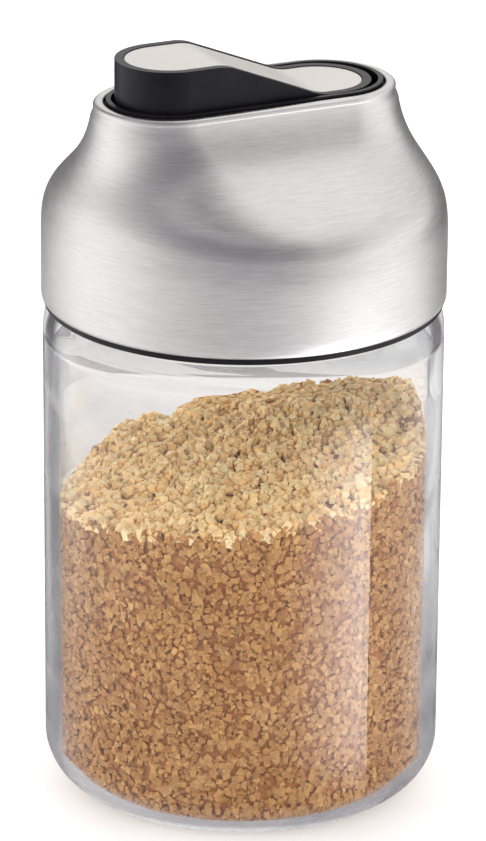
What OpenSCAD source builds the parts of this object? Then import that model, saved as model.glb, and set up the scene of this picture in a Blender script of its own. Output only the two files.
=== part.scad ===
// Sugar dispenser with a rocking flap: a glass jar, a brushed steel screw cap
// and a spring-closed flap over an off-centre pour hole.
// Millimetres. Origin at the centre of the jar's standing face, +Z up,
// the pour end of the cap towards -X and the thumb end towards +X.

/* [Jar] */
// Outer radius of the glass body
jar_r = 39.7; // [39.4:0.1:39.8]
// Thickness of the glass wall
jar_wall = 3; // [2.8:0.1:3.2]
// Thickness of the glass floor
jar_floor = 2.1; // [2:0.1:2.6]
// Radius of the rounded outer corner at the base
jar_corner_r = 9.7; // [8:0.1:11]
// Height of the jar's mouth above the table
jar_h = 113; // [112.8:0.1:113]

/* [Sugar] */
// Mean height of the sugar above the table
sugar_level = 68.2; // [40:0.1:75]
// Rise of the sugar's surface across the jar, from low side to high side
sugar_rise = 16; // [0:1:20]

/* [Cap] */
// Outer radius of the steel shell at its skirt
cap_r = 40; // [40:0.1:40.2]
// Thickness of the steel sheet
steel_t = 0.6; // [0.5:0.05:0.6]
// Height of the steel shell's lower edge above the table
skirt_z = 102.5; // [102.5:0.1:102.8]
// Height where the straight skirt starts to draw in to the neck
shoulder_z = 112; // [111.5:0.5:112.5]
// Pitch of the screw thread
thread_pitch = 4; // [3.6:0.1:4]
// Turns of thread on the jar and in the cap
thread_turns = 0.9; // [0.6:0.05:0.9]

/* [Flap] */
// Height of the raised end's border above the table
flap_top_z = 152.6; // [150:0.1:154]
// Height of the thumb end's border above the table
thumb_top_z = 144.4; // [143.8:0.05:144.5]
// Angle that the flap opens through
flap_open = 35; // [30:1:35]
// Radius of the hinge pin
pin_r = 1.25; // [1:0.05:1.3]

/* [Hidden] */
$fn = 96;

// Jar: neck, shoulder and the flat ring that it stands on
neck_r = 34.7;
neck_bore_r = neck_r - jar_wall;
shoulder_r = 14;
shoulder_z0 = 95.4;
shoulder_inner_z = 93.6;
shoulder_turn = 22;
shoulder_top_r = 3;
jar_bore_r = jar_r - jar_wall;
inner_corner_r = 7.4;
push_up = 0.5;
push_up_r = 21;
rim_round = 0.6;

// Screw thread: both ridges follow one right-hand helix, half a pitch apart
ridge_h = 1.1;
ridge_root = 1.1;
ridge_crest = 0.5;
root_bury = 0.3;
jar_thread_z = 106.4;
cap_thread_z = jar_thread_z - thread_pitch / 2;
thread_step = 12;

// Seal between the jar's mouth and the cap's deck
seal_t = 1.6;
seal_in_r = 30.6;
seal_out_r = 36;

// Liner: threaded skirt, deck and the raised plate with the pour hole
lip_z = 101.3;
lip_r = 39.5;
liner_r = 39;
liner_bore_r = 36.3;
deck_z = jar_h + seal_t;
deck_t = 1.8;
deck_bore_r = 29;
plate_z = 125;
plate_t = 1.6;
plate_r = 27.6;
collar_z = 118.5;
collar_t = 1;

// Oblong opening: two half circles joined by straight sides
slot_a = 16.7;
ring_r = 12;
well_r = 11;
well_wall = 1.2;
ring_z = 144.5;
ring_step_z = 143.4;
flange_r = 13.3;
flange_z = 141.9;
flange_top_z = 143.3;

// Deck of the oblong well, the pour spout and the pocket below the thumb end
well_deck_z = 137.6;
well_deck_t = 1.6;
step_x = 5;
pocket_z = 135.9;
pocket_clear = 0.5;
spout_x = -15;
spout_r = 7;
spout_wall = 1.2;
spout_rim_z = 138.8;
spout_foot_z = 123.9;

// Screws that join the bezel to the liner's plate
screw_x = 12;
screw_y = 12.6;
screw_r = 1.1;
screw_l = 8;
screw_head_r = 2;
screw_head_h = 1.4;
screw_slot_w = 0.5;
boss_r = 2.3;
boss_top_z = 137;
thread_clear = 0.01;

// Flap: outline inside the well, borders, walls and the pivot
flap_r = 10.5;
flap_left_x = -16.5;
flap_right_x = 15.8;
slope_left_x = -8.9;
slope_right_x = 11.5;
slope_fillet_r = 10;
border_w = 1.8;
border_h = 0.15;
inlay_t = 0.5;
inlay_gap = 0.08;
flap_plate_t = 1.3;
flap_wall = 1.5;
flap_skirt_z = 138.2;
thumb_under_z = 141.1;
skirt_end_x = 10.5;
hollow_end_x = 12.2;
pivot_x = 8.5;
pivot_z = 139.2;
hinge_boss_r = 2.7;
cheek_y = 6;
running_gap = 0.05;
press_gap = 0.01;
pin_l = 24.2;

// Seal under the raised end
pad_r = 8.5;
pad_t = 1.8;
pad_nose_r = 6.5;
pad_nose_h = 0.9;
plug_r = 5.9;
plug_h = 3;
post_r = 7.4;
post_bore_r = 6;

// Torsion spring round the pin
spring_wire_r = 0.3;
spring_coil_r = 1.75;
spring_y = 1.8;
spring_start = -100;
spring_end = -1354;
spring_step = 20;
floor_leg_x = 15;
thumb_leg_x = 16;

steel_colour = [0.78, 0.77, 0.75];
black_colour = [0.07, 0.07, 0.08];
big = 60;

// Points on an arc in a plane, from angle a0 to a1
function arc(cx, cy, r, a0, a1, n = 8) =
    [for (i = [0:n]) let (a = a0 + (a1 - a0) * i / n) [cx + r * cos(a), cy + r * sin(a)]];

// Triangles between rings of m points; a closed sweep joins its last ring to its first
function ring_faces(rings, m, closed = false) =
    [for (i = [0:rings - (closed ? 1 : 2)], j = [0:m - 1])
        let (k = (i + 1) % rings, n = (j + 1) % m)
        each [[i * m + j, k * m + n, i * m + n], [i * m + j, k * m + j, k * m + n]]];
function cap_faces(rings, m) =
    [[for (j = [0:m - 1]) j], [for (j = [m - 1:-1:0]) (rings - 1) * m + j]];

// Oblong outline between two half circles, drawn flat
module slot2d(x_left, x_right, r) {
    translate([x_left, 0]) circle(r);
    translate([x_right, 0]) circle(r);
    translate([x_left, -r]) square([x_right - x_left, 2 * r]);
}

// Oblong column from height z0 to z1
module slot_column(x_left, x_right, r, z0, z1) {
    translate([0, 0, z0]) linear_extrude(z1 - z0) slot2d(x_left, x_right, r);
}

// A side view, drawn in X and Z, given width along Y
module side_prism(points, width = 2 * big) {
    rotate([90, 0, 0]) linear_extrude(width, center = true) polygon(points);
}

// A cylinder along Y, centred on the pivot
module pivot_bar(r, length) {
    translate([pivot_x, 0, pivot_z]) rotate([90, 0, 0]) cylinder(h = length, r = r, center = true);
}

// A helical ridge that runs out into the wall at both ends. side is 1 outwards and -1 inwards
module thread_ridge(root_r, z0, side) {
    steps = round(thread_turns * 360 / thread_step);
    points = [for (i = [0:steps])
        let (angle = thread_turns * 360 * i / steps,
            z = z0 + thread_pitch * angle / 360,
            height = ridge_h * min(1, 0.15 + 4 * min(i, steps - i) / steps),
            base = root_r - side * root_bury,
            crest = root_r + side * height,
            foot = side * ridge_root,
            tip = side * ridge_crest,
            section = [[base, foot], [crest, tip], [crest, -tip], [base, -foot]])
        for (p = section) [p[0] * cos(angle), p[0] * sin(angle), z + p[1]]];
    polyhedron(points, concat(ring_faces(steps + 1, 4), cap_faces(steps + 1, 4)));
}

// Jar and content

module glass_jar() {
    shoulder_x = jar_r - shoulder_r;
    bend = shoulder_r - shoulder_top_r;
    inner_r = shoulder_r - jar_wall;
    outer = concat(
        [[0, push_up], [push_up_r, push_up], [push_up_r + 1, 0]],
        arc(jar_r - jar_corner_r, jar_corner_r, jar_corner_r, -90, 0, 10),
        arc(shoulder_x, shoulder_z0, shoulder_r, 0, shoulder_turn, 5),
        arc(shoulder_x + bend * cos(shoulder_turn), shoulder_z0 + bend * sin(shoulder_turn), shoulder_top_r,
            shoulder_turn, 90, 5),
        [[neck_r, shoulder_z0 + bend * sin(shoulder_turn) + shoulder_top_r]],
        arc(neck_r - rim_round, jar_h - rim_round, rim_round, 0, 90, 3));
    inner = concat(
        arc(neck_bore_r + rim_round, jar_h - rim_round, rim_round, 90, 180, 3),
        arc(shoulder_x, shoulder_inner_z, inner_r, acos((neck_bore_r - shoulder_x) / inner_r), 0),
        arc(jar_bore_r - inner_corner_r, jar_floor + inner_corner_r, inner_corner_r, 0, -90),
        [[0, jar_floor]]);
    color([0.86, 0.9, 0.92, 0.35]) {
        rotate_extrude() polygon(concat(outer, inner));
        thread_ridge(neck_r, jar_thread_z, 1);
    }
}

// Height of the sugar at a place in the jar: a tilted and twisted bed, and on it mounds given as
// [place across, place along, height, spread]
bed_turn = -26.5;
bed_slope = 3.4;
bed_twist = 4.4;
bed_mounds = [[0.25, 0.2, 2.2, 0.12], [0.95, 0.2, 2, 0.04], [-0.7, 0.68, 1.8, 0.05],
    [-0.42, 0.88, -2.4, 0.02]];
function bed_height(x, y) =
    let (u = (x * cos(bed_turn) + y * sin(bed_turn)) / jar_bore_r,
        v = (-x * sin(bed_turn) + y * cos(bed_turn)) / jar_bore_r)
    sugar_level + sugar_rise / 2 * u + bed_slope * v + bed_twist * u * v
        + [for (m = bed_mounds) m[2]]
            * [for (m = bed_mounds) exp(-(pow(u - m[0], 2) + pow(v - m[1], 2)) / m[3])];

module sugar_fill() {
    sides = 48;
    gap = 0.25;
    foot = arc(jar_bore_r - inner_corner_r, jar_floor + inner_corner_r, inner_corner_r - gap, -90, 0, 5);
    side_r = foot[5][0];
    bed_rings = [for (i = [12:-1:1]) side_r * i / 12];
    rings = len(foot) + len(bed_rings);
    points = concat(
        [for (p = foot, j = [0:sides - 1])
            [p[0] * cos(360 * j / sides), p[0] * sin(360 * j / sides), p[1]]],
        [for (r = bed_rings, j = [0:sides - 1])
            let (x = r * cos(360 * j / sides), y = r * sin(360 * j / sides)) [x, y, bed_height(x, y)]],
        [[0, 0, bed_height(0, 0)]]);
    last = (rings - 1) * sides;
    crown = [for (j = [0:sides - 1]) [last + (j + 1) % sides, last + j, rings * sides]];
    color([0.8, 0.6, 0.36])
        polyhedron(points, concat(ring_faces(rings, sides), [[for (j = [0:sides - 1]) j]], crown));
}

// Cap

module jar_seal() {
    color([0.85, 0.85, 0.84]) translate([0, 0, jar_h]) difference() {
        cylinder(h = seal_t, r = seal_out_r);
        translate([0, 0, -1]) cylinder(h = seal_t + 2, r = seal_in_r);
    }
}

// The deep-drawn shell: round at the skirt, drawn in to the oblong neck. A shallow crease runs round
// under the bead of its rolled top edge. Each station is [half length of the straight sides, corner
// radius, height]
neck_wall_r = 15;
draw_reach = 18.7;
draw_power = 4.8;
draw_full = 1.12;
wall_top_z = 142.3;
opening_r = 12.35;
function neck_share(z) =
    let (t = pow(max(0, z - shoulder_z) / draw_reach, draw_power)) draw_full * t / (1 + t);
function wall_station(z) =
    let (k = neck_share(z)) [slot_a * min(1, k), cap_r - (cap_r - neck_wall_r) * k, z];
wall_steps = 18;
bead = [for (p = [[14.45, 142.9], [14.5, 143.3], [14.35, 143.7], [13.98, 144.02], [13.3, 144.2],
    [opening_r, 143.95]]) [slot_a, p[0], p[1]]];
shell_stations = concat(
    [[0, cap_r - 0.4, skirt_z], [0, cap_r - 0.1, skirt_z + 0.3], [0, cap_r, skirt_z + 0.8]],
    [for (i = [0:wall_steps]) wall_station(shoulder_z + (wall_top_z - shoulder_z) * i / wall_steps)],
    bead);

module cap_shell() {
    sides = 64;
    count = len(shell_stations);
    inner = [for (i = [count - 1:-1:0])
        let (here = shell_stations[i],
            d = shell_stations[min(i + 1, count - 1)] - shell_stations[max(i - 1, 0)],
            l = norm([d[1], d[2]]))
        [here[0], here[1] - steel_t * d[2] / l, here[2] + steel_t * d[1] / l]];
    stations = concat(shell_stations, inner);
    points = [for (s = stations, j = [0:sides - 1])
        let (a = 360 * (j + 0.5) / sides)
        [s[0] * sign(cos(a)) + s[1] * cos(a), s[1] * sin(a), s[2]]];
    color(steel_colour) polyhedron(points, ring_faces(len(stations), sides, closed = true));
}

module cap_liner() {
    cup_in_r = plate_r - 1.3;
    color(black_colour) {
        difference() {
            rotate_extrude() polygon([
                [lip_r - 0.55, lip_z], [lip_r - 0.2, lip_z], [lip_r, lip_z + 0.2], [lip_r, skirt_z],
                [liner_r, skirt_z], [liner_r, collar_z], [liner_r - collar_t, collar_z],
                [liner_r - collar_t, deck_z + deck_t], [deck_bore_r + 1.5, deck_z + deck_t],
                [plate_r, plate_z], [0, plate_z], [0, plate_z - plate_t], [cup_in_r, plate_z - plate_t],
                [deck_bore_r, deck_z], [liner_bore_r, deck_z], [liner_bore_r, lip_z + 2.1],
                [liner_bore_r + 1.5, lip_z + 1]
            ]);
            translate([0, 0, plate_z - plate_t - 1]) {
                translate([spout_x, 0, 0]) cylinder(h = plate_t + 2, r = spout_r + spout_wall + 0.2);
                at_screws() cylinder(h = plate_t + 2, r = screw_r + 0.2, $fn = 32);
            }
        }
        thread_ridge(liner_bore_r, cap_thread_z, -1);
    }
}

module at_screws() {
    for (x = [-screw_x, screw_x], y = [-screw_y, screw_y]) translate([x, y, 0]) children();
}

// The thumb pocket's floor lies along the flap's underside at full opening
pocket_foot_x = slot_a + well_r;
function pocket_floor(x) =
    let (rise = thumb_under_z - pivot_z,
        px = pivot_x + rise * sin(flap_open),
        pz = pivot_z + rise * cos(flap_open))
    pz - (x - px) * tan(flap_open) - pocket_clear / cos(flap_open);
pocket_bend_x = pivot_x + (thumb_under_z - pivot_z) * sin(flap_open)
    + (pivot_z + (thumb_under_z - pivot_z) * cos(flap_open) - pocket_clear / cos(flap_open) - pocket_z)
    / tan(flap_open);

module bezel() {
    far_x = pocket_foot_x + well_wall;
    shade = well_deck_t / cos(flap_open);
    inside = [[-big, ring_z + 1], [-big, well_deck_z], [step_x, well_deck_z], [step_x, pocket_z],
        [pocket_bend_x, pocket_z], [pocket_foot_x + 1, pocket_floor(pocket_foot_x + 1)], [big, ring_z + 1]];
    deck_under_z = well_deck_z - well_deck_t;
    pocket_under_z = pocket_z - well_deck_t;
    outside = [[-big, ring_step_z], [-big, deck_under_z], [step_x - well_deck_t, deck_under_z],
        [step_x - well_deck_t, pocket_under_z], [pocket_bend_x - 0.5, pocket_under_z],
        [far_x, pocket_floor(far_x) - shade], [big, pocket_floor(far_x) - shade], [big, ring_step_z]];
    color(black_colour) difference() {
        union() {
            slot_column(-slot_a, slot_a, ring_r, ring_step_z, ring_z);
            intersection() {
                slot_column(-slot_a, slot_a, well_r + well_wall, 110, ring_step_z);
                side_prism(outside);
            }
            slot_column(-slot_a, slot_a, flange_r, flange_z, flange_top_z);
            translate([spout_x, 0, spout_foot_z])
                cylinder(h = well_deck_z - spout_foot_z - 0.5, r = spout_r + spout_wall);
            at_screws() translate([0, 0, plate_z]) cylinder(h = boss_top_z - plate_z, r = boss_r, $fn = 48);
        }
        intersection() {
            slot_column(-slot_a, slot_a, well_r, 110, ring_z + 1);
            difference() {
                side_prism(inside);
                translate([spout_x, 0, spout_foot_z])
                    cylinder(h = spout_rim_z - spout_foot_z, r = spout_r + 1);
            }
        }
        translate([spout_x, 0, spout_foot_z - 1]) cylinder(h = 20, r = spout_r);
        pivot_bar(pin_r + press_gap, 2 * big);
        at_screws() translate([0, 0, plate_z - 1])
            cylinder(h = screw_l + 1, r = screw_r + thread_clear, $fn = 48);
    }
}

module liner_screws() {
    under = plate_z - plate_t;
    color(steel_colour) at_screws() difference() {
        union() {
            translate([0, 0, under]) cylinder(h = screw_l, r = screw_r, $fn = 48);
            translate([0, 0, under - screw_head_h]) cylinder(h = screw_head_h, r = screw_head_r, $fn = 48);
        }
        for (turn = [0, 90]) rotate([0, 0, turn])
            translate([-screw_head_r * 0.6, -screw_slot_w / 2, under - screw_head_h - 1])
                cube([screw_head_r * 1.2, screw_slot_w, 1.8]);
    }
}

// Flap and its hinge

module hinge_pin() {
    color(steel_colour) pivot_bar(pin_r, pin_l);
}

// One bent wire: a leg on the pocket floor, the coil, and a leg under the thumb end
module return_spring() {
    turn = spring_end - spring_start;
    steps = round(abs(turn) / spring_step);
    coil = [for (i = [0:steps]) let (a = spring_start + turn * i / steps)
        [pivot_x + spring_coil_r * cos(a), -spring_y + 2 * spring_y * i / steps,
            pivot_z + spring_coil_r * sin(a)]];
    floor_leg = coil[0] + (floor_leg_x - coil[0][0]) * [1, 0, -cos(spring_start) / sin(spring_start)];
    thumb_leg = coil[steps]
        + (thumb_leg_x - coil[steps][0]) * [1, 0, -cos(spring_end) / sin(spring_end)];
    path = concat([floor_leg], coil, [thumb_leg]);
    last = len(path) - 1;
    sides = 6;
    points = [for (i = [0:last])
        let (d = path[min(i + 1, last)] - path[max(i - 1, 0)],
            along = d / norm(d),
            across = cross(along, [0, 1, 0]) / norm(cross(along, [0, 1, 0])),
            third = cross(along, across))
        for (j = [0:sides - 1])
            path[i] + spring_wire_r * (across * cos(360 * j / sides) + third * sin(360 * j / sides))];
    color(steel_colour) polyhedron(points, concat(ring_faces(last + 1, sides), cap_faces(last + 1, sides)));
}

// The flap's top in side view, lowered by d: level, down the slope, level again
slope_angle = atan((flap_top_z - thumb_top_z) / (slope_right_x - slope_left_x));
fillet_reach = slope_fillet_r * tan(slope_angle / 2);
function flap_top(d) = concat(
    [[-big, flap_top_z - d]],
    arc(slope_left_x - fillet_reach, flap_top_z - slope_fillet_r - d, slope_fillet_r, 90, 90 - slope_angle),
    arc(slope_right_x + fillet_reach, thumb_top_z + slope_fillet_r - d, slope_fillet_r,
        -90 - slope_angle, -90),
    [[big, thumb_top_z - d]]);

// Everything above the flap's top, lowered by d
module above_flap(d) {
    side_prism(concat(flap_top(d), [[big, flap_top_z + big], [-big, flap_top_z + big]]));
}

module flap_outline(inset, z0 = 120, z1 = 170) {
    slot_column(flap_left_x, flap_right_x, flap_r - inset, z0, z1);
}

module flap_body() {
    ceiling = border_h + inlay_t + flap_plate_t;
    color(black_colour) difference() {
        union() {
            difference() {
                intersection() {
                    flap_outline(0);
                    side_prism(concat(flap_top(0), [[big, thumb_under_z], [skirt_end_x, thumb_under_z],
                        [skirt_end_x, flap_skirt_z], [-big, flap_skirt_z]]));
                }
                intersection() {
                    flap_outline(border_w);
                    above_flap(border_h + inlay_t);
                }
                difference() {
                    flap_outline(flap_wall);
                    above_flap(ceiling);
                    translate([hollow_end_x, -big, 100]) cube([big, 2 * big, 100]);
                }
            }
            difference() {
                for (side = [-1, 1]) translate([0, side * (cheek_y + flap_r - 1) / 2, 0]) {
                    pivot_bar(hinge_boss_r, flap_r - 1 - cheek_y);
                    translate([pivot_x - hinge_boss_r, -(flap_r - 1 - cheek_y) / 2, pivot_z])
                        cube([2 * hinge_boss_r, flap_r - 1 - cheek_y, 5]);
                }
                above_flap(ceiling - 0.5);
            }
            difference() {
                translate([spout_x, 0, spout_rim_z + pad_t])
                    cylinder(h = flap_top_z - ceiling + 0.4 - spout_rim_z - pad_t, r = post_r);
                translate([spout_x, 0, spout_rim_z + pad_t - 1])
                    cylinder(h = flap_top_z - ceiling - spout_rim_z - pad_t + 1, r = post_bore_r);
            }
        }
        pivot_bar(pin_r + running_gap, 2 * big);
    }
}

module flap_inlay() {
    color(steel_colour) difference() {
        intersection() {
            flap_outline(border_w + inlay_gap);
            above_flap(border_h + inlay_t);
        }
        above_flap(border_h);
    }
}

module flap_seal() {
    color([0.8, 0.8, 0.79]) translate([spout_x, 0, spout_rim_z]) {
        cylinder(h = pad_t, r = pad_r);
        translate([0, 0, -pad_nose_h]) cylinder(h = pad_nose_h, r = pad_nose_r);
        translate([0, 0, pad_t]) cylinder(h = plug_h, r = plug_r);
    }
}

glass_jar();
sugar_fill();
jar_seal();
cap_shell();
cap_liner();
bezel();
liner_screws();
hinge_pin();
return_spring();
flap_body();
flap_inlay();
flap_seal();
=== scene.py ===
# Sugar dispenser with a rocking flap: a glass jar of raw sugar under a brushed steel screw cap.
# Metres, +Z up, the jar standing on z = 0, the pouring end of the flap towards -X.
import math
import random

import bmesh
import bpy
import numpy as np
from mathutils import Euler, Matrix, Vector


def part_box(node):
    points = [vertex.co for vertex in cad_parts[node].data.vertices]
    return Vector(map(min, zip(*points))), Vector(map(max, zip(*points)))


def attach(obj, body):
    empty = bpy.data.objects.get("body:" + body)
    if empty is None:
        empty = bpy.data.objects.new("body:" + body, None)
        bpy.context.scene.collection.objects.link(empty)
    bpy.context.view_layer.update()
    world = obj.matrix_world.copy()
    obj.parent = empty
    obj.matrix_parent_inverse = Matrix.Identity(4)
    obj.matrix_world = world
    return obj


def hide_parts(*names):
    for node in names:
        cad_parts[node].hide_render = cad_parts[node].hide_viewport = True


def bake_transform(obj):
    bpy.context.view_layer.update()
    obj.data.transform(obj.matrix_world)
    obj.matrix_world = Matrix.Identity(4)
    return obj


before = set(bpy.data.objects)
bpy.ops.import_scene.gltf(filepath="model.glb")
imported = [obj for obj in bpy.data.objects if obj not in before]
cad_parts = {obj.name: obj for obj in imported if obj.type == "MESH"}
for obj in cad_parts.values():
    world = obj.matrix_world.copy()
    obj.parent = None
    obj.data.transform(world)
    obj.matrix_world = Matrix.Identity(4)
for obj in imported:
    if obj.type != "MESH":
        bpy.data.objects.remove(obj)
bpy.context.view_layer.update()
MM = 0.001

# Glass jar.
# Pressed soda-lime glass with a thick wall, a rounded base corner and a fire-polished mouth.
# The outline is spun round, and the screw ridge is swept up the neck and sunk into its wall.
JAR_R = 39.7 * MM
JAR_WALL = 3.0 * MM
JAR_FLOOR = 2.1 * MM
JAR_CORNER = 9.7 * MM
JAR_INNER_CORNER = 7.4 * MM
JAR_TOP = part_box("glass_jar")[1].z
NECK_R = 34.7 * MM
SHOULDER_R = 14.0 * MM
SHOULDER_Z = 95.4 * MM
SHOULDER_INNER_Z = 93.6 * MM
SHOULDER_TURN = 22
SHOULDER_TOP_R = 3.0 * MM
RIM_ROUND = 0.6 * MM
PUSH_UP = 0.5 * MM
PUSH_UP_R = 21.0 * MM
JAR_STEPS = 192
THREAD_PITCH = 4.0 * MM
THREAD_TURNS = 0.9
THREAD_Z = 106.4 * MM
THREAD_STEPS = 108
# Share of its height that the ridge starts with, and how fast it grows to the whole
THREAD_START = 0.15
THREAD_GROWTH = 12


def arc(centre_x, centre_z, radius, start, end, steps):
    """Points of an arc in the XZ plane; angles in degrees from +X towards +Z."""
    angles = [math.radians(start + (end - start) * i / steps) for i in range(steps + 1)]
    return [(centre_x + radius * math.cos(a), centre_z + radius * math.sin(a)) for a in angles]


def add_object(name, bm):
    """Turns a bmesh into an object at the origin."""
    mesh = bpy.data.meshes.new(name)
    bm.to_mesh(mesh)
    bm.free()
    piece = bpy.data.objects.new(name, mesh)
    bpy.context.scene.collection.objects.link(piece)
    return piece


def spin_outline(bm, outline, steps):
    """Spins a closed or axis-to-axis outline of (x, z) points into a solid of revolution."""
    verts = [bm.verts.new((x, 0, z)) for x, z in outline]
    edges = [bm.edges.new(pair) for pair in zip(verts, verts[1:])]
    if outline[0][0] > 1e-6:
        edges.append(bm.edges.new((verts[-1], verts[0])))
    bmesh.ops.spin(bm, geom=verts + edges, axis=(0, 0, 1), cent=(0, 0, 0), angle=math.tau,
                   steps=steps, use_merge=True)
    bmesh.ops.remove_doubles(bm, verts=bm.verts, dist=1e-6)
    bmesh.ops.recalc_face_normals(bm, faces=bm.faces)


def smooth(piece, angle=30):
    """Shades a piece smooth, keeping edges sharper than the angle crisp."""
    piece.data.polygons.foreach_set("use_smooth", [True] * len(piece.data.polygons))
    piece.data.set_sharp_from_angle(angle=math.radians(angle))


def node_tree(name):
    """A new material with its Principled shader; returns material, nodes, links and shader."""
    material = bpy.data.materials.new(name)
    material.use_nodes = True
    tree = material.node_tree
    return material, tree.nodes, tree.links, tree.nodes["Principled BSDF"]


def object_noise(nodes, links, stretch, scale=1.0, detail=3.0, roughness=0.6):
    """Noise in Object coordinates, stretched by a Mapping node; returns its factor socket."""
    place = nodes.new("ShaderNodeTexCoord")
    mapping = nodes.new("ShaderNodeMapping")
    mapping.inputs["Scale"].default_value = stretch
    noise = nodes.new("ShaderNodeTexNoise")
    noise.inputs["Scale"].default_value = scale
    noise.inputs["Detail"].default_value = detail
    noise.inputs["Roughness"].default_value = roughness
    links.new(place.outputs["Object"], mapping.inputs["Vector"])
    links.new(mapping.outputs["Vector"], noise.inputs["Vector"])
    return noise.outputs["Fac"]


def ramp(nodes, links, factor, low, high, start=0.3, end=0.7):
    """Colour ramp between two colours, or two grey levels, over part of the factor's range."""
    node = nodes.new("ShaderNodeValToRGB")
    for element, level, place in zip(node.color_ramp.elements, (low, high), (start, end)):
        element.color = (level, level, level, 1) if isinstance(level, float) else (*level, 1)
        element.position = place
    links.new(factor, node.inputs["Fac"])
    return node.outputs["Color"]


def reckon(nodes, links, operation, first, second):
    """A Math node on two sockets or numbers; returns its result."""
    node = nodes.new("ShaderNodeMath")
    node.operation = operation
    for place, value in enumerate((first, second)):
        if isinstance(value, float):
            node.inputs[place].default_value = value
        else:
            links.new(value, node.inputs[place])
    return node.outputs["Value"]


def bump(nodes, links, height, shader, distance, strength=1.0):
    """Joins a height to a shader's normal."""
    node = nodes.new("ShaderNodeBump")
    node.inputs["Distance"].default_value = distance
    node.inputs["Strength"].default_value = strength
    links.new(height, node.inputs["Height"])
    links.new(node.outputs["Normal"], shader.inputs["Normal"])


def glass_material():
    """Clear glass that lamps and bounced light pass straight through, so the sugar is lit evenly."""
    material, nodes, links, glass = node_tree("clear_glass")
    glass.inputs["Base Color"].default_value = (0.985, 0.99, 0.99, 1)
    glass.inputs["Transmission Weight"].default_value = 1.0
    glass.inputs["IOR"].default_value = 1.5
    waves = object_noise(nodes, links, (60, 60, 22), detail=1.0)
    bump(nodes, links, waves, glass, 0.00006, 0.5)
    links.new(ramp(nodes, links, waves, 0.0, 0.003), glass.inputs["Roughness"])
    see_through = nodes.new("ShaderNodeBsdfTransparent")
    see_through.inputs["Color"].default_value = (0.95, 0.96, 0.96, 1)
    rays = nodes.new("ShaderNodeLightPath")
    lighting = reckon(nodes, links, "MAXIMUM", rays.outputs["Is Shadow Ray"], rays.outputs["Is Diffuse Ray"])
    mix = nodes.new("ShaderNodeMixShader")
    links.new(lighting, mix.inputs["Fac"])
    links.new(glass.outputs["BSDF"], mix.inputs[1])
    links.new(see_through.outputs["BSDF"], mix.inputs[2])
    links.new(mix.outputs["Shader"], nodes["Material Output"].inputs["Surface"])
    return material


def jar_bore_r(z):
    """Inner radius of the jar's body at a height."""
    straight = JAR_R - JAR_WALL
    above = JAR_FLOOR + JAR_INNER_CORNER - z
    if above <= 0:
        return straight
    reach = math.sqrt(max(0.0, JAR_INNER_CORNER ** 2 - above ** 2))
    return straight - JAR_INNER_CORNER + reach


jar_bm = bmesh.new()
neck_bore = NECK_R - JAR_WALL
outline = [(0, PUSH_UP), (PUSH_UP_R, PUSH_UP)]
outline += [(PUSH_UP_R + 0.4 * MM, PUSH_UP * 0.6), (PUSH_UP_R + 1 * MM, 0)]
outline += arc(JAR_R - JAR_CORNER, JAR_CORNER, JAR_CORNER, -90, 0, 20)
shoulder_x = JAR_R - SHOULDER_R
outline += arc(shoulder_x, SHOULDER_Z, SHOULDER_R, 0, SHOULDER_TURN, 6)
bend_x, bend_z = arc(shoulder_x, SHOULDER_Z, SHOULDER_R - SHOULDER_TOP_R, 0, SHOULDER_TURN, 1)[1]
outline += arc(bend_x, bend_z, SHOULDER_TOP_R, SHOULDER_TURN, 90, 10)[1:]
outline += [(NECK_R, bend_z + SHOULDER_TOP_R)]
outline += arc(NECK_R - RIM_ROUND, JAR_TOP - RIM_ROUND, RIM_ROUND, 0, 90, 4)
outline += arc(neck_bore + RIM_ROUND, JAR_TOP - RIM_ROUND, RIM_ROUND, 90, 180, 4)
inner_turn = math.degrees(math.acos((neck_bore - shoulder_x) / (SHOULDER_R - JAR_WALL)))
outline += arc(shoulder_x, SHOULDER_INNER_Z, SHOULDER_R - JAR_WALL, inner_turn, 0, 14)
outline += arc(JAR_R - JAR_WALL - JAR_INNER_CORNER, JAR_FLOOR + JAR_INNER_CORNER,
               JAR_INNER_CORNER, 0, -90, 18)
outline += [(0, JAR_FLOOR)]
spin_outline(jar_bm, outline, JAR_STEPS)
jar = add_object("jar_glass", jar_bm)
smooth(jar, 50)
jar.data.materials.append(glass_material())
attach(jar, "jar")
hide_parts("glass_jar")


def sweep_thread(name, root_r, start_z, material):
    """A helical ridge standing 1.1 mm off a root radius, fading out at both ends."""
    bm = bmesh.new()
    bury, height, root, crest = 0.3 * MM, 1.1 * MM, 1.1 * MM, 0.5 * MM
    section = [(-bury, -root), (height, -crest), (height, crest), (-bury, root)]
    verts = [bm.verts.new((root_r + x, 0, start_z + z)) for x, z in section]
    edges = [bm.edges.new((verts[i], verts[(i + 1) % 4])) for i in range(4)]
    bm.faces.new(verts)
    turned = bmesh.ops.spin(bm, geom=verts + edges, axis=(0, 0, 1), cent=(0, 0, 0),
                            angle=math.tau * THREAD_TURNS, steps=THREAD_STEPS,
                            dvec=(0, 0, THREAD_PITCH * THREAD_TURNS / THREAD_STEPS))
    last_edges = [e for e in turned["geom_last"] if isinstance(e, bmesh.types.BMEdge)]
    bmesh.ops.contextual_create(bm, geom=last_edges)
    for vert in bm.verts:
        radial = Vector((vert.co.x, vert.co.y))
        turn = (math.atan2(vert.co.y, vert.co.x) % math.tau) / (math.tau * THREAD_TURNS)
        fade = min(1.0, THREAD_START + THREAD_GROWTH * min(turn, 1 - turn))
        if radial.length > root_r:
            radial *= (root_r + (radial.length - root_r) * fade) / radial.length
            vert.co.x, vert.co.y = radial
    bmesh.ops.recalc_face_normals(bm, faces=bm.faces)
    ridge = add_object(name, bm)
    smooth(ridge, 40)
    ridge.data.materials.append(material)
    return ridge


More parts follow.
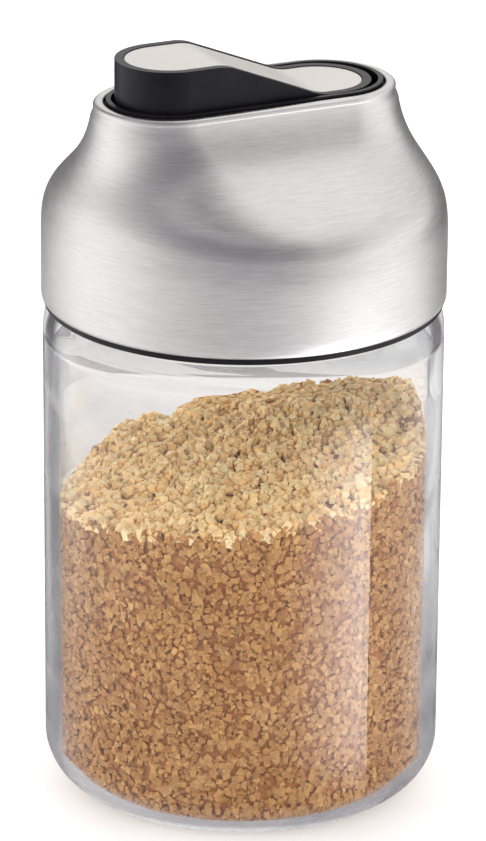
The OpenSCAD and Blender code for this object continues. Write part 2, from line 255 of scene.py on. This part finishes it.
jar_thread = sweep_thread("jar_thread", NECK_R, THREAD_Z, jar.data.materials[0])
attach(jar_thread, "jar")

# Sugar.
# Coarse raw cane sugar poured in and shaken to one side: a bed with loose crystals over it.
# Each crystal is a small skewed block, and those at the wall lie flat against the glass.
SUGAR_LEVEL = 68.2 * MM
SUGAR_RISE = 16.0 * MM
BED_TURN = math.radians(-26.5)
BED_SLOPE = 3.4
BED_TWIST = 4.4
# Mounds and a hollow in the bed: place across, place along, height in millimetres and spread
BED_MOUNDS = [(0.25, 0.2, 2.2, 0.12), (0.95, 0.2, 2.0, 0.04),
              (-0.7, 0.68, 1.8, 0.05), (-0.42, 0.88, -2.4, 0.02)]
# Lumps over the mounds: height in millimetres, and degrees of their waves to a millimetre
LUMP_RISE = 0.35
LUMP_RATE = 48
BED_INSET = 0.9 * MM
BED_SIDES = 96
BED_RINGS = (1.0, 0.95, 0.87, 0.79, 0.71, 0.63, 0.55, 0.47, 0.39, 0.31, 0.23, 0.15, 0.07)
# Crystals stop short of the glass by this gap, and are centred at these depths from it
WALL_GAP = 0.12 * MM
WALL_DEPTHS = {"wall": 0.35 * MM, "behind_wall": 1.15 * MM}
DEPTH_SPREAD = 0.35
# A crystal's mean size, and the spread of its size, its three sides and its corners
GRAIN = 1.0 * MM
GRAIN_SIZES = (0.62, 0.8, 0.95, 1.1, 1.35)
GRAIN_SIDES = ((0.9, 1.25), (0.7, 1.0), (0.6, 0.95))
GRAIN_SKEW = 0.16
GRAIN_CORNERS = 8
CHUNK = 400


def wave(degrees):
    return math.sin(math.radians(degrees))


def bed_height(x, y):
    """Height of the sugar at a place in the jar: a tilted, twisted bed with soft mounds and lumps."""
    reach = JAR_R - JAR_WALL
    u = (x * math.cos(BED_TURN) + y * math.sin(BED_TURN)) / reach
    v = (-x * math.sin(BED_TURN) + y * math.cos(BED_TURN)) / reach
    mound = BED_SLOPE * v + BED_TWIST * u * v
    for across, along, rise, spread in BED_MOUNDS:
        mound += rise * math.exp(-((u - across) ** 2 + (v - along) ** 2) / spread)
    east, north = x / MM, y / MM
    lump = wave(LUMP_RATE * east + 50 * wave(17 * north))
    lump += wave(LUMP_RATE * north + 60 * wave(15 * east))
    return SUGAR_LEVEL + SUGAR_RISE / 2 * u + (mound + LUMP_RISE * lump) * MM


def multiplied(nodes, links, first, second):
    """One colour times another; returns the result's socket."""
    node = nodes.new("ShaderNodeMix")
    node.data_type = "RGBA"
    node.blend_type = "MULTIPLY"
    node.inputs["Factor"].default_value = 1.0
    links.new(first, node.inputs[6])
    links.new(second, node.inputs[7])
    return node.outputs[2]


def sugar_material(name, amber, pale):
    """Translucent crystals, each with its own tint between amber and pale, darker in some patches."""
    material, nodes, links, shader = node_tree(name)
    tint = nodes.new("ShaderNodeAttribute")
    tint.attribute_name = "tint"
    grain_colour = ramp(nodes, links, tint.outputs["Fac"], amber, pale, 0.0, 1.0)
    cloud = object_noise(nodes, links, (90, 90, 90), detail=2.0)
    cloud_colour = ramp(nodes, links, cloud, (0.86, 0.81, 0.74), (1.0, 1.0, 1.0))
    links.new(multiplied(nodes, links, grain_colour, cloud_colour), shader.inputs["Base Color"])
    facets = object_noise(nodes, links, (900, 900, 900))
    links.new(ramp(nodes, links, facets, 0.12, 0.4), shader.inputs["Roughness"])
    shader.inputs["Subsurface Weight"].default_value = 0.35
    shader.inputs["Subsurface Radius"].default_value = (1.0, 0.9, 0.8)
    shader.inputs["Subsurface Scale"].default_value = 0.0006
    shader.inputs["Specular IOR Level"].default_value = 0.3
    return material


def level_ring(bm, radius, z, sides):
    """The vertices of a new level circle round the jar's axis."""
    lift = Matrix.Translation((0, 0, z))
    return bmesh.ops.create_circle(bm, segments=sides, radius=radius, matrix=lift)["verts"]


def ring_edges(ring):
    """The edges that join a ring's own vertices."""
    members = set(ring)
    return list({e for v in ring for e in v.link_edges if e.other_vert(v) in members})


def bridge_rings(bm, rings):
    """Joins each ring to the next with a band of faces."""
    for low, high in zip(rings, rings[1:]):
        bmesh.ops.bridge_loops(bm, edges=ring_edges(low) + ring_edges(high))


def heap_sugar():
    """The closed bed under the loose crystals, a little inside the glass."""
    bm = bmesh.new()
    rings = []
    for turn in range(0, 91, 18):
        z = JAR_FLOOR + BED_INSET + JAR_INNER_CORNER * (1 - math.cos(math.radians(turn)))
        radius = max(jar_bore_r(z - BED_INSET * 0.5) - BED_INSET, 5 * MM)
        rings.append(level_ring(bm, radius, z, BED_SIDES))
    wall_r = JAR_R - JAR_WALL - BED_INSET
    for share in BED_RINGS:
        ring = level_ring(bm, wall_r * share, 0, BED_SIDES)
        for vert in ring:
            vert.co.z = bed_height(vert.co.x, vert.co.y) - BED_INSET
        rings.append(ring)
    bridge_rings(bm, rings)
    for ring in (rings[0], rings[-1]):
        bmesh.ops.contextual_create(bm, geom=ring)
    bmesh.ops.recalc_face_normals(bm, faces=bm.faces)
    bed = add_object("sugar_bed_painted_shade", bm)
    smooth(bed, 60)
    return bed


def crystal_places(kind, count, rng):
    """Places for loose crystals: against the wall, over the heap or on the jar's floor."""
    wall_r = JAR_R - JAR_WALL
    while count > 0:
        turn = rng.uniform(0, math.tau)
        if kind in WALL_DEPTHS:
            depth = WALL_DEPTHS[kind] + rng.uniform(0, DEPTH_SPREAD) * MM
            z = rng.uniform(JAR_FLOOR, SUGAR_LEVEL + SUGAR_RISE)
            radius = jar_bore_r(z) - depth
            place = Vector((radius * math.cos(turn), radius * math.sin(turn), z))
            if z > bed_height(place.x, place.y) + 0.2 * MM or radius < 5 * MM:
                continue
        else:
            radius = (wall_r - 0.5 * MM) * math.sqrt(rng.random())
            place = Vector((radius * math.cos(turn), radius * math.sin(turn), 0))
            if kind == "top":
                place.z = bed_height(place.x, place.y) + rng.uniform(-0.9, 0.5) * MM
            else:
                place.z = JAR_FLOOR + rng.uniform(0.3, 0.8) * MM
        count -= 1
        yield place


def scatter_crystals(name, kind, count, size, seed):
    """Thousands of crystals as one piece, built in small batches."""
    rng = random.Random(seed)
    total = bmesh.new()
    places = list(crystal_places(kind, count, rng))
    for start in range(0, len(places), CHUNK):
        batch = bmesh.new()
        for place in places[start:start + CHUNK]:
            turn = Euler([rng.uniform(0, math.tau) for _ in range(3)]).to_matrix().to_4x4()
            grow = size * rng.choice(GRAIN_SIZES)
            sides = [grow * rng.uniform(*limits) for limits in GRAIN_SIDES]
            stretch = Matrix.Diagonal((*sides, 1))
            bmesh.ops.create_cube(batch, size=1.0, matrix=Matrix.Translation(place) @ turn @ stretch)
        mesh = bpy.data.meshes.new("batch")
        batch.to_mesh(mesh)
        batch.free()
        total.from_mesh(mesh)
        bpy.data.meshes.remove(mesh)
    bmesh.ops.triangulate(total, faces=total.faces)
    for vert in total.verts:
        vert.co += Vector([rng.uniform(-GRAIN_SKEW, GRAIN_SKEW) * size for _ in range(3)])
        limit = jar_bore_r(max(vert.co.z, JAR_FLOOR)) - WALL_GAP
        flat = math.hypot(vert.co.x, vert.co.y)
        if flat > limit:
            vert.co.x *= limit / flat
            vert.co.y *= limit / flat
        vert.co.z = max(vert.co.z, JAR_FLOOR + WALL_GAP)
    piece = add_object(name, total)
    tints = np.repeat([rng.betavariate(2.0, 2.2) for _ in places], GRAIN_CORNERS)
    layer = piece.data.attributes.new("tint", "FLOAT", "POINT")
    layer.data.foreach_set("value", tints.astype(np.float32))
    return piece


# One sugar in two copies: the crystals on top get pale colours as painted light, and those at the wall and
# on the floor get dark ones as painted shade.
lit_sugar_copy = sugar_material("sugar_painted_lit", (0.95, 0.57, 0.22), (1.0, 0.81, 0.49))
shaded_sugar_copy = sugar_material("sugar_painted_shade", (0.38, 0.15, 0.034), (0.7, 0.38, 0.135))
# The bed shows in the gaps between the top crystals, and its dark colours are painted shade in those gaps.
gap_shade_sugar = sugar_material("sugar_bed_painted_shade", (0.42, 0.16, 0.035), (0.5, 0.2, 0.05))
sugar_pieces = [
    (heap_sugar(), gap_shade_sugar),
    (scatter_crystals("sugar_wall_outer", "wall", 16500, GRAIN, 11), shaded_sugar_copy),
    (scatter_crystals("sugar_wall_inner", "behind_wall", 10000, GRAIN, 12), shaded_sugar_copy),
    (scatter_crystals("sugar_top", "top", 7500, GRAIN * 1.2, 13), lit_sugar_copy),
    (scatter_crystals("sugar_floor", "floor", 3000, GRAIN, 14), shaded_sugar_copy),
]
for sugar, finish in sugar_pieces:
    sugar.data.materials.append(finish)
    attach(sugar, "jar")
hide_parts("sugar_fill")

# Jar seal.
# A flat ring of translucent silicone, punched from sheet, that lies in the cap's deck.
# It keeps the sugar dry, and is seen only with the cap unscrewed.


def silicone_material():
    material, nodes, links, shader = node_tree("silicone")
    haze = object_noise(nodes, links, (300, 300, 300))
    links.new(ramp(nodes, links, haze, (0.72, 0.72, 0.7), (0.8, 0.8, 0.78)), shader.inputs["Base Color"])
    skin = object_noise(nodes, links, (2500, 2500, 2500))
    links.new(ramp(nodes, links, skin, 0.45, 0.6), shader.inputs["Roughness"])
    shader.inputs["Subsurface Weight"].default_value = 0.3
    shader.inputs["Subsurface Scale"].default_value = 0.001
    return material


def dress(node, name, body, material, edge, angle=32):
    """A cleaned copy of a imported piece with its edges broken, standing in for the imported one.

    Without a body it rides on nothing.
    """
    bm = bmesh.new()
    bm.from_mesh(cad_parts[node].data)
    bmesh.ops.remove_doubles(bm, verts=bm.verts, dist=2e-6)
    bmesh.ops.dissolve_limit(bm, angle_limit=math.radians(0.4), verts=bm.verts, edges=bm.edges)
    piece = add_object(name, bm)
    if edge:
        broken = piece.modifiers.new("broken_edges", "BEVEL")
        broken.width = edge
        broken.segments = 2
        broken.limit_method = "ANGLE"
        broken.angle_limit = math.radians(angle)
        broken.use_clamp_overlap = True
        even = piece.modifiers.new("even_shading", "WEIGHTED_NORMAL")
        even.keep_sharp = True
    smooth(piece, 36)
    piece.data.materials.clear()
    piece.data.materials.append(material)
    if body:
        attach(piece, body)
    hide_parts(node)
    return piece


silicone = silicone_material()
dress("jar_seal", "seal_ring", "gasket", silicone, 0.15 * MM)

# Cap liner and bezel.
# Injection-moulded black plastic with a satin skin. The liner carries the screw thread and its lip
# shows under the steel; the bezel is the oblong well that the flap rocks in, screwed to the liner.


def black_material(name, fine):
    """Satin black plastic with a skin as fine as the given scale."""
    material, nodes, links, shader = node_tree(name)
    tone = object_noise(nodes, links, (160, 160, 160), detail=2.0)
    tone_colour = ramp(nodes, links, tone, (0.004, 0.0036, 0.005), (0.008, 0.0072, 0.009))
    links.new(tone_colour, shader.inputs["Base Color"])
    skin = object_noise(nodes, links, (fine, fine, fine), detail=2.0)
    links.new(ramp(nodes, links, skin, 0.26, 0.36), shader.inputs["Roughness"])
    bump(nodes, links, skin, shader, 0.00002, 0.35)
    shader.inputs["Specular IOR Level"].default_value = 0.2
    return material


black = black_material("black_plastic", 5200)
dress("cap_liner", "cap_inner", "cap", black, 0.1 * MM)
dress("bezel", "flap_well", "cap", black, 0.18 * MM)

# Cap shell.
# Deep-drawn stainless steel sheet, round at the skirt and drawn in to an oblong neck, with the top
# edge rolled over. It is brushed round and round, which stretches every highlight up and down.
CAP_R = 40.0 * MM
STEEL = 0.6 * MM
SKIRT_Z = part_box("cap_shell")[0].z
SHELL_SHOULDER_Z = 112.0 * MM
SLOT_HALF = 16.7 * MM
NECK_WALL_R = 15.0 * MM
DRAW_REACH = 18.7 * MM
DRAW_POWER = 4.8
DRAW_FULL = 1.12
WALL_TOP_Z = 142.3 * MM
# Corner radius and height of the crease and the rolled bead, in millimetres
BEAD = [(14.47, 142.6), (14.45, 142.85), (14.46, 143.05), (14.5, 143.25),
        (14.48, 143.45), (14.38, 143.68), (14.2, 143.88), (13.95, 144.04),
        (13.65, 144.14), (13.3, 144.19), (12.8, 144.12), (12.35, 143.95)]
SHELL_SIDES = 192
SHELL_STEPS = 44


def wall_station(z):
    """Half length of the straight sides, corner radius and height of the drawn wall."""
    rise = (max(0.0, z - SHELL_SHOULDER_Z) / DRAW_REACH) ** DRAW_POWER
    share = DRAW_FULL * rise / (1 + rise)
    return SLOT_HALF * min(1.0, share), CAP_R - (CAP_R - NECK_WALL_R) * share, z


def shell_stations():
    """All stations from the rounded lower edge up to the end of the rolled bead."""
    lower = [(0, CAP_R - 0.4 * MM, SKIRT_Z), (0, CAP_R - 0.22 * MM, SKIRT_Z + 0.1 * MM),
             (0, CAP_R - 0.08 * MM, SKIRT_Z + 0.3 * MM), (0, CAP_R, SKIRT_Z + 0.8 * MM)]
    skirt = [(0, CAP_R, SKIRT_Z + (SHELL_SHOULDER_Z - SKIRT_Z) * t) for t in (0.3, 0.6, 0.9)]
    wall = [wall_station(SHELL_SHOULDER_Z + (WALL_TOP_Z - SHELL_SHOULDER_Z) * i / SHELL_STEPS)
            for i in range(SHELL_STEPS + 1)]
    bead = [(SLOT_HALF, radius * MM, z * MM) for radius, z in BEAD]
    return lower + skirt + wall + bead


def oblong_ring(bm, half, radius, z, sides):
    """A ring of vertices round an oblong: a circle pulled apart along X by its straight sides."""
    place = Matrix.Translation((0, 0, z)) @ Matrix.Rotation(math.pi / sides, 4, "Z")
    ring = bmesh.ops.create_circle(bm, segments=sides, radius=radius, matrix=place)["verts"]
    for vert in ring:
        vert.co.x += math.copysign(half, vert.co.x)
    return ring


def brushed_material(name, colours, stretch, rough, strength):
    """Steel with fine strokes, which run along the axes where the noise's scale is small."""
    material, nodes, links, shader = node_tree(name)
    shader.inputs["Metallic"].default_value = 1.0
    strokes = object_noise(nodes, links, stretch, detail=4.0, roughness=0.7)
    cloud = object_noise(nodes, links, (70, 70, 110), detail=2.0)
    stroke_colour = ramp(nodes, links, strokes, *colours, 0.25, 0.75)
    cloud_colour = ramp(nodes, links, cloud, (0.965, 0.96, 0.955), (1.0, 1.0, 1.0))
    links.new(multiplied(nodes, links, stroke_colour, cloud_colour), shader.inputs["Base Color"])
    links.new(ramp(nodes, links, strokes, *rough), shader.inputs["Roughness"])
    bump(nodes, links, strokes, shader, 0.00001, strength)
    return material


shell_bm = bmesh.new()
along = shell_bm.verts.layers.float.new("along")
height = shell_bm.verts.layers.float.new("height")
rings = [oblong_ring(shell_bm, *station, SHELL_SIDES) for station in shell_stations()]
for ring in rings:
    for place, vert in enumerate(ring):
        vert[along] = place / SHELL_SIDES
        vert[height] = vert.co.z
bridge_rings(shell_bm, rings)
bmesh.ops.recalc_face_normals(shell_bm, faces=shell_bm.faces)
grain_uv = shell_bm.loops.layers.uv.new("grain")
for face in shell_bm.faces:
    turns = [loop.vert[along] for loop in face.loops]
    wraps = max(turns) - min(turns) > 0.5
    for loop, turn in zip(face.loops, turns):
        loop[grain_uv].uv = (turn + 1 if wraps and turn < 0.5 else turn, loop.vert[height] * 10)
shell = add_object("steel_shell", shell_bm)
smooth(shell, 60)
sheet = shell.modifiers.new("sheet_thickness", "SOLIDIFY")
sheet.thickness = STEEL
sheet.offset = -1
shell_steel = brushed_material("brushed_shell", ((0.61, 0.595, 0.585), (0.83, 0.815, 0.805)),
                               (200, 200, 4600), (0.29, 0.35), 0.3)
shell_shader = shell_steel.node_tree.nodes["Principled BSDF"]
shell_shader.inputs["Anisotropic"].default_value = 0.65
tangent = shell_steel.node_tree.nodes.new("ShaderNodeTangent")
tangent.direction_type = "UV_MAP"
tangent.uv_map = "grain"
shell_steel.node_tree.links.new(tangent.outputs["Tangent"], shell_shader.inputs["Tangent"])
shell.data.materials.append(shell_steel)
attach(shell, "cap")
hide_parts("cap_shell")

# Liner screws, hinge pin and return spring.
# Drawn stainless wire and rod. The four screws clamp the shell between liner and bezel, the pin is
# pressed into the bezel's walls, and the coil winds up between bezel and flap to shut the flap.
wire_steel = brushed_material("drawn_wire", ((0.5, 0.5, 0.5), (0.66, 0.66, 0.65)),
                              (3000, 120, 3000), (0.2, 0.35), 0.3)
dress("liner_screws", "screws", "cap", wire_steel, 0.08 * MM)
dress("hinge_pin", "pin", "cap", wire_steel, 0.15 * MM)
spring = dress("return_spring", "spring", None, wire_steel, 0, 40)
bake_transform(spring)

# Flap.
# A hollow black moulding that rocks on the pin, with a satin steel plate let into its top.
# The plate lies just below the border, whose outer edge is well rounded.
black_flap = black_material("black_flap", 4200)
dress("flap_body", "flap_moulding", "flap", black_flap, 0.45 * MM, 50)
inlay_steel = brushed_material("satin_inlay", ((0.8, 0.775, 0.74), (0.86, 0.835, 0.8)),
                               (90, 5200, 5200), (0.42, 0.55), 0.25)
dress("flap_inlay", "flap_plate", "flap", inlay_steel, 0.12 * MM)

# Flap seal.
# A silicone plug pushed into the post under the raised end; its pad closes the spout.
dress("flap_seal", "spout_plug", "flap", silicone, 0.3 * MM)

# Studio.
# A pale floor, a white surround and four large softboxes. Metal and glass see a light tent in place
# of the lamps: bright to both sides and behind, dim in front. Two dark cards draw the glass's edges.
CAMERA_TARGET = Vector((0, 0, 75 * MM))
CAMERA_DISTANCE = 1.0
CAMERA_AZIMUTH = math.radians(-26.18)
CAMERA_ELEVATION = math.radians(20.62)
CAMERA_ROLL = math.radians(0.43)
FOCAL_PIXELS = 5018
PICTURE_LONG_SIDE = 841
PRINCIPAL_OFFSET = (-0.1, 1.5)
# Each softbox: name, azimuth, elevation, distance, width, height and radiance
SOFTBOXES = [
    ("softbox_left", -75, 13, 1.3, 1.1, 0.9, 3.4),
    ("softbox_right", 62, 13, 1.3, 1.1, 0.9, 3.4),
    ("softbox_back", 180, 16, 1.4, 1.4, 0.8, 5.0),
    ("softbox_front", 0, 50, 1.5, 1.4, 1.0, 0.8),
]
# Glow of the floor as seen and as seen out of the glass, and light that the surround gives
FLOOR_SHOWN = 0.16
FLOOR_THROUGH = 1.2
SURROUND_LIGHT = 0.75
# Radii of the tent's rings on the table, and the brightness of its parts
TENT_TABLE = (0.05, 0.07, 0.09, 0.13, 0.18, 0.24, 0.3, 0.37, 0.45, 0.55, 0.7, 0.85)
TENT_SIDES = 240
TENT_CENTRE_Z = 0.11
FRONT_GLOW = 0.24
LOW_GLOW = 0.17
ROOF_GLOW = 0.5
LEFT_GLOW = 0.95
RIGHT_GLOW = 0.85
BACKDROP_GLOW = 1.05
TABLE_LIGHT_STRENGTH = 5.5
TABLE_LIGHT_STEPS = 16
# Distance from the jar's wall and brightness across the light on the table
TABLE_LIGHT_ACROSS = ((0.012, 0.0), (0.04, 0.8), (0.1, 1.0), (0.17, 1.0), (0.225, 0.7), (0.25, 0.0))


def towards(azimuth, elevation):
    """Unit vector from the object at an azimuth from the camera's side and a height angle, in degrees."""
    a = CAMERA_AZIMUTH + math.radians(azimuth)
    e = math.radians(elevation)
    return Vector((math.sin(a) * math.cos(e), -math.cos(a) * math.cos(e), math.sin(e)))


def aim(thing, position, target, roll=0.0):
    """Places a camera or lamp so that it looks at the target."""
    turn = (target - position).to_track_quat("-Z", "Y").to_matrix().to_4x4()
    thing.matrix_world = Matrix.Translation(position) @ turn @ Matrix.Rotation(roll, 4, "Z")


def add_camera():
    data = bpy.data.cameras.new("camera")
    data.sensor_width = 36
    data.lens = FOCAL_PIXELS * data.sensor_width / PICTURE_LONG_SIDE
    data.shift_x = -PRINCIPAL_OFFSET[0] / PICTURE_LONG_SIDE
    data.shift_y = PRINCIPAL_OFFSET[1] / PICTURE_LONG_SIDE
    data.clip_start = 0.05
    camera = bpy.data.objects.new("camera", data)
    bpy.context.scene.collection.objects.link(camera)
    back = towards(0, math.degrees(CAMERA_ELEVATION))
    aim(camera, CAMERA_TARGET + back * CAMERA_DISTANCE, CAMERA_TARGET, CAMERA_ROLL)
    bpy.context.scene.camera = camera


def add_softbox(name, azimuth, elevation, distance, width, height, radiance):
    """A rectangular lamp that lights matt surfaces; metal and glass see the tent instead of it."""
    data = bpy.data.lights.new(name, "AREA")
    data.shape = "RECTANGLE"
    data.size = width
    data.size_y = height
    data.energy = radiance * math.pi * width * height
    lamp = bpy.data.objects.new(name, data)
    lamp.visible_glossy = False
    lamp.visible_transmission = False
    bpy.context.scene.collection.objects.link(lamp)
    aim(lamp, CAMERA_TARGET + towards(azimuth, elevation) * distance, CAMERA_TARGET)


def between(nodes, links, factor, low, high):
    """A level that goes from low to high with the factor; returns its socket."""
    node = nodes.new("ShaderNodeMapRange")
    node.inputs["To Min"].default_value = low
    node.inputs["To Max"].default_value = high
    links.new(factor, node.inputs["Value"])
    return node.outputs["Result"]


def show_sum(nodes, links, first, second):
    """Makes two shaders added together the material's surface."""
    both = nodes.new("ShaderNodeAddShader")
    links.new(first, both.inputs[0])
    links.new(second, both.inputs[1])
    links.new(both.outputs["Shader"], nodes["Material Output"].inputs["Surface"])


def add_floor():
    """A white table: its own glow is only seen, and adds no light to the dispenser."""
    bm = bmesh.new()
    bmesh.ops.create_circle(bm, cap_ends=True, segments=64, radius=3.0)
    floor = add_object("floor", bm)
    material, nodes, links, shader = node_tree("floor_white")
    speckle = object_noise(nodes, links, (40, 40, 40))
    floor_colour = ramp(nodes, links, speckle, (0.86, 0.86, 0.86), (0.88, 0.88, 0.88))
    links.new(floor_colour, shader.inputs["Base Color"])
    shader.inputs["Roughness"].default_value = 0.8
    glow = nodes.new("ShaderNodeEmission")
    rays = nodes.new("ShaderNodeLightPath")
    level = between(nodes, links, rays.outputs["Is Transmission Ray"], FLOOR_SHOWN, FLOOR_THROUGH)
    not_lighting = reckon(nodes, links, "SUBTRACT", 1.0, rays.outputs["Is Diffuse Ray"])
    links.new(reckon(nodes, links, "MULTIPLY", level, not_lighting), glow.inputs["Strength"])
    show_sum(nodes, links, shader.outputs["BSDF"], glow.outputs["Emission"])
    floor.data.materials.append(material)


def add_world():
    """A surround that shows white, and lights the dispenser at a lower level."""
    world = bpy.data.worlds.new("white_surround")
    world.use_nodes = True
    nodes, links = world.node_tree.nodes, world.node_tree.links
    background = nodes["Background"]
    background.inputs["Color"].default_value = (1, 1, 1, 1)
    rays = nodes.new("ShaderNodeLightPath")
    seen = rays.outputs["Is Camera Ray"]
    for ray in ("Is Transmission Ray", "Is Glossy Ray"):
        seen = reckon(nodes, links, "MAXIMUM", seen, rays.outputs[ray])
    links.new(between(nodes, links, seen, SURROUND_LIGHT, 1.0), background.inputs["Strength"])
    bpy.context.scene.world = world


def bell(value, centre, width):
    """1 at the centre, falling off smoothly on both sides."""
    return math.exp(-((value - centre) / width) ** 2)


def step(value, start, end):
    """Rises smoothly from 0 to 1 between start and end."""
    share = min(1.0, max(0.0, (value - start) / (end - start)))
    return share * share * (3 - 2 * share)


def mirrored_glow(azimuth, elevation, reach):
    """What polished and brushed surfaces see in a direction, in degrees, of the tent at a reach."""
    far_side = step(abs(azimuth), 112, 140) * (1 - step(elevation, 20, 50))
    glow = (FRONT_GLOW + LOW_GLOW * (1 - step(elevation, 12, 38))) * (1 - 0.9 * far_side)
    glow += ROOF_GLOW * step(elevation, 55, 90)
    left = bell(azimuth, -94, 52 if azimuth > -94 else 34)
    glow += LEFT_GLOW * left * (1 - 0.75 * step(elevation, 18, 62))
    lift = max(0.0, elevation - 25)
    right = step(azimuth, 10 + 0.9 * lift, 80 + 0.6 * lift)
    fall = 98 + 1.6 * max(0.0, elevation)
    right *= 1 - step(azimuth, fall, fall + 30)
    glow += RIGHT_GLOW * right
    backdrop = step(elevation, 2, 14) * (1 - step(180 - abs(azimuth), 14, 42))
    glow = max(glow, BACKDROP_GLOW * backdrop)
    near = 1 - step(reach, 0.13, 0.25)
    return glow * (1 - 0.8 * near)


def through_glow(azimuth):
    """What the clear glass shows of the tent: white behind, with a dark card to each side of it."""
    behind = 180 - abs(azimuth)
    card = step(behind, 19, 27) * (1 - step(behind, 44, 62))
    darkness = 0.97 if azimuth < 0 else 0.85
    return (0.3 + 0.78 * step(abs(azimuth), 70, 125)) * (1 - darkness * card)


def glow_material(name, strength, clear):
    """Emission as strong as the mesh's mirrored or, for rays out of the glass, through attribute."""
    material = bpy.data.materials.new(name)
    material.use_nodes = True
    nodes, links = material.node_tree.nodes, material.node_tree.links
    nodes.remove(nodes["Principled BSDF"])
    mirrored = nodes.new("ShaderNodeAttribute")
    mirrored.attribute_name = "mirrored"
    through = nodes.new("ShaderNodeAttribute")
    through.attribute_name = "through"
    rays = nodes.new("ShaderNodeLightPath")
    level = nodes.new("ShaderNodeMix")
    links.new(rays.outputs["Is Transmission Ray"], level.inputs["Factor"])
    links.new(mirrored.outputs["Fac"], level.inputs[2])
    links.new(through.outputs["Fac"], level.inputs[3])
    light = nodes.new("ShaderNodeEmission")
    tint = ramp(nodes, links, level.outputs[0], (0.94, 0.89, 1.0), (1.0, 0.99, 0.985), 0.1, 0.9)
    links.new(tint, light.inputs["Color"])
    links.new(reckon(nodes, links, "MULTIPLY", level.outputs[0], strength), light.inputs["Strength"])
    if clear:
        film = nodes.new("ShaderNodeBsdfTransparent")
        show_sum(nodes, links, light.outputs["Emission"], film.outputs["BSDF"])
    else:
        links.new(light.outputs["Emission"], nodes["Material Output"].inputs["Surface"])
    return material


def add_card(name, bm, mirrored, through, strength, clear):
    """A glowing surface that only reflections and refractions see."""
    card = add_object(name, bm)
    for attribute, glow in (("mirrored", mirrored), ("through", through)):
        layer = card.data.attributes.new(attribute, "FLOAT", "POINT")
        layer.data.foreach_set("value", np.array(glow, np.float32))
    card.data.materials.append(glow_material(name + "_cloth", strength, clear))
    card.visible_camera = False
    card.visible_diffuse = False
    card.visible_shadow = False


def add_tent():
    """A bowl from the table's top up to a dome, its brightness set vertex by vertex."""
    profile = [(radius, 0.6 * MM) for radius in TENT_TABLE]
    profile += [(math.cos(math.radians(e)), 2 * MM + math.sin(math.radians(e))) for e in range(0, 90, 5)]
    profile += [(0.02, 1.0)]
    bm = bmesh.new()
    bridge_rings(bm, [level_ring(bm, radius, z, TENT_SIDES) for radius, z in profile])
    mirrored = []
    through = []
    # Directions are taken from near the edge of the jar that faces the vertex
    for vert in bm.verts:
        side = math.copysign(0.96 * JAR_R, vert.co.dot(towards(90, 0)))
        reach = vert.co - towards(90, 0) * side - Vector((0, 0, TENT_CENTRE_Z))
        turn = math.degrees(math.atan2(reach.x, -reach.y) - CAMERA_AZIMUTH)
        azimuth = (turn + 180) % 360 - 180
        elevation = math.degrees(math.asin(reach.z / reach.length))
        mirrored.append(mirrored_glow(azimuth, elevation, math.hypot(vert.co.x, vert.co.y)))
        through.append(through_glow(azimuth))
    add_card("light_tent", bm, mirrored, through, 1.0, False)


def add_table_light():
    """A strip of light on the table to the right, with one crisp edge, that the glass reflects."""
    bm = bmesh.new()
    glow = []
    rows = []
    for i in range(TABLE_LIGHT_STEPS + 1):
        share = i / TABLE_LIGHT_STEPS
        lean = 13 + 26.7 * share
        row = []
        for reach, level in TABLE_LIGHT_ACROSS:
            foot = towards(lean, 0) * JAR_R + towards(2 * lean, 0) * reach
            row.append(bm.verts.new((foot.x, foot.y, 1 * MM)))
            glow.append(level * share ** 1.3)
        rows.append(row)
    for near, far in zip(rows, rows[1:]):
        for a in range(len(TABLE_LIGHT_ACROSS) - 1):
            bm.faces.new((near[a], near[a + 1], far[a + 1], far[a]))
    through = [0.4 * level for level in glow]
    add_card("table_light", bm, glow, through, TABLE_LIGHT_STRENGTH, True)


add_camera()
add_floor()
add_world()
add_tent()
add_table_light()
for softbox in SOFTBOXES:
    add_softbox(*softbox)
bpy.context.scene.view_settings.view_transform = "Standard"
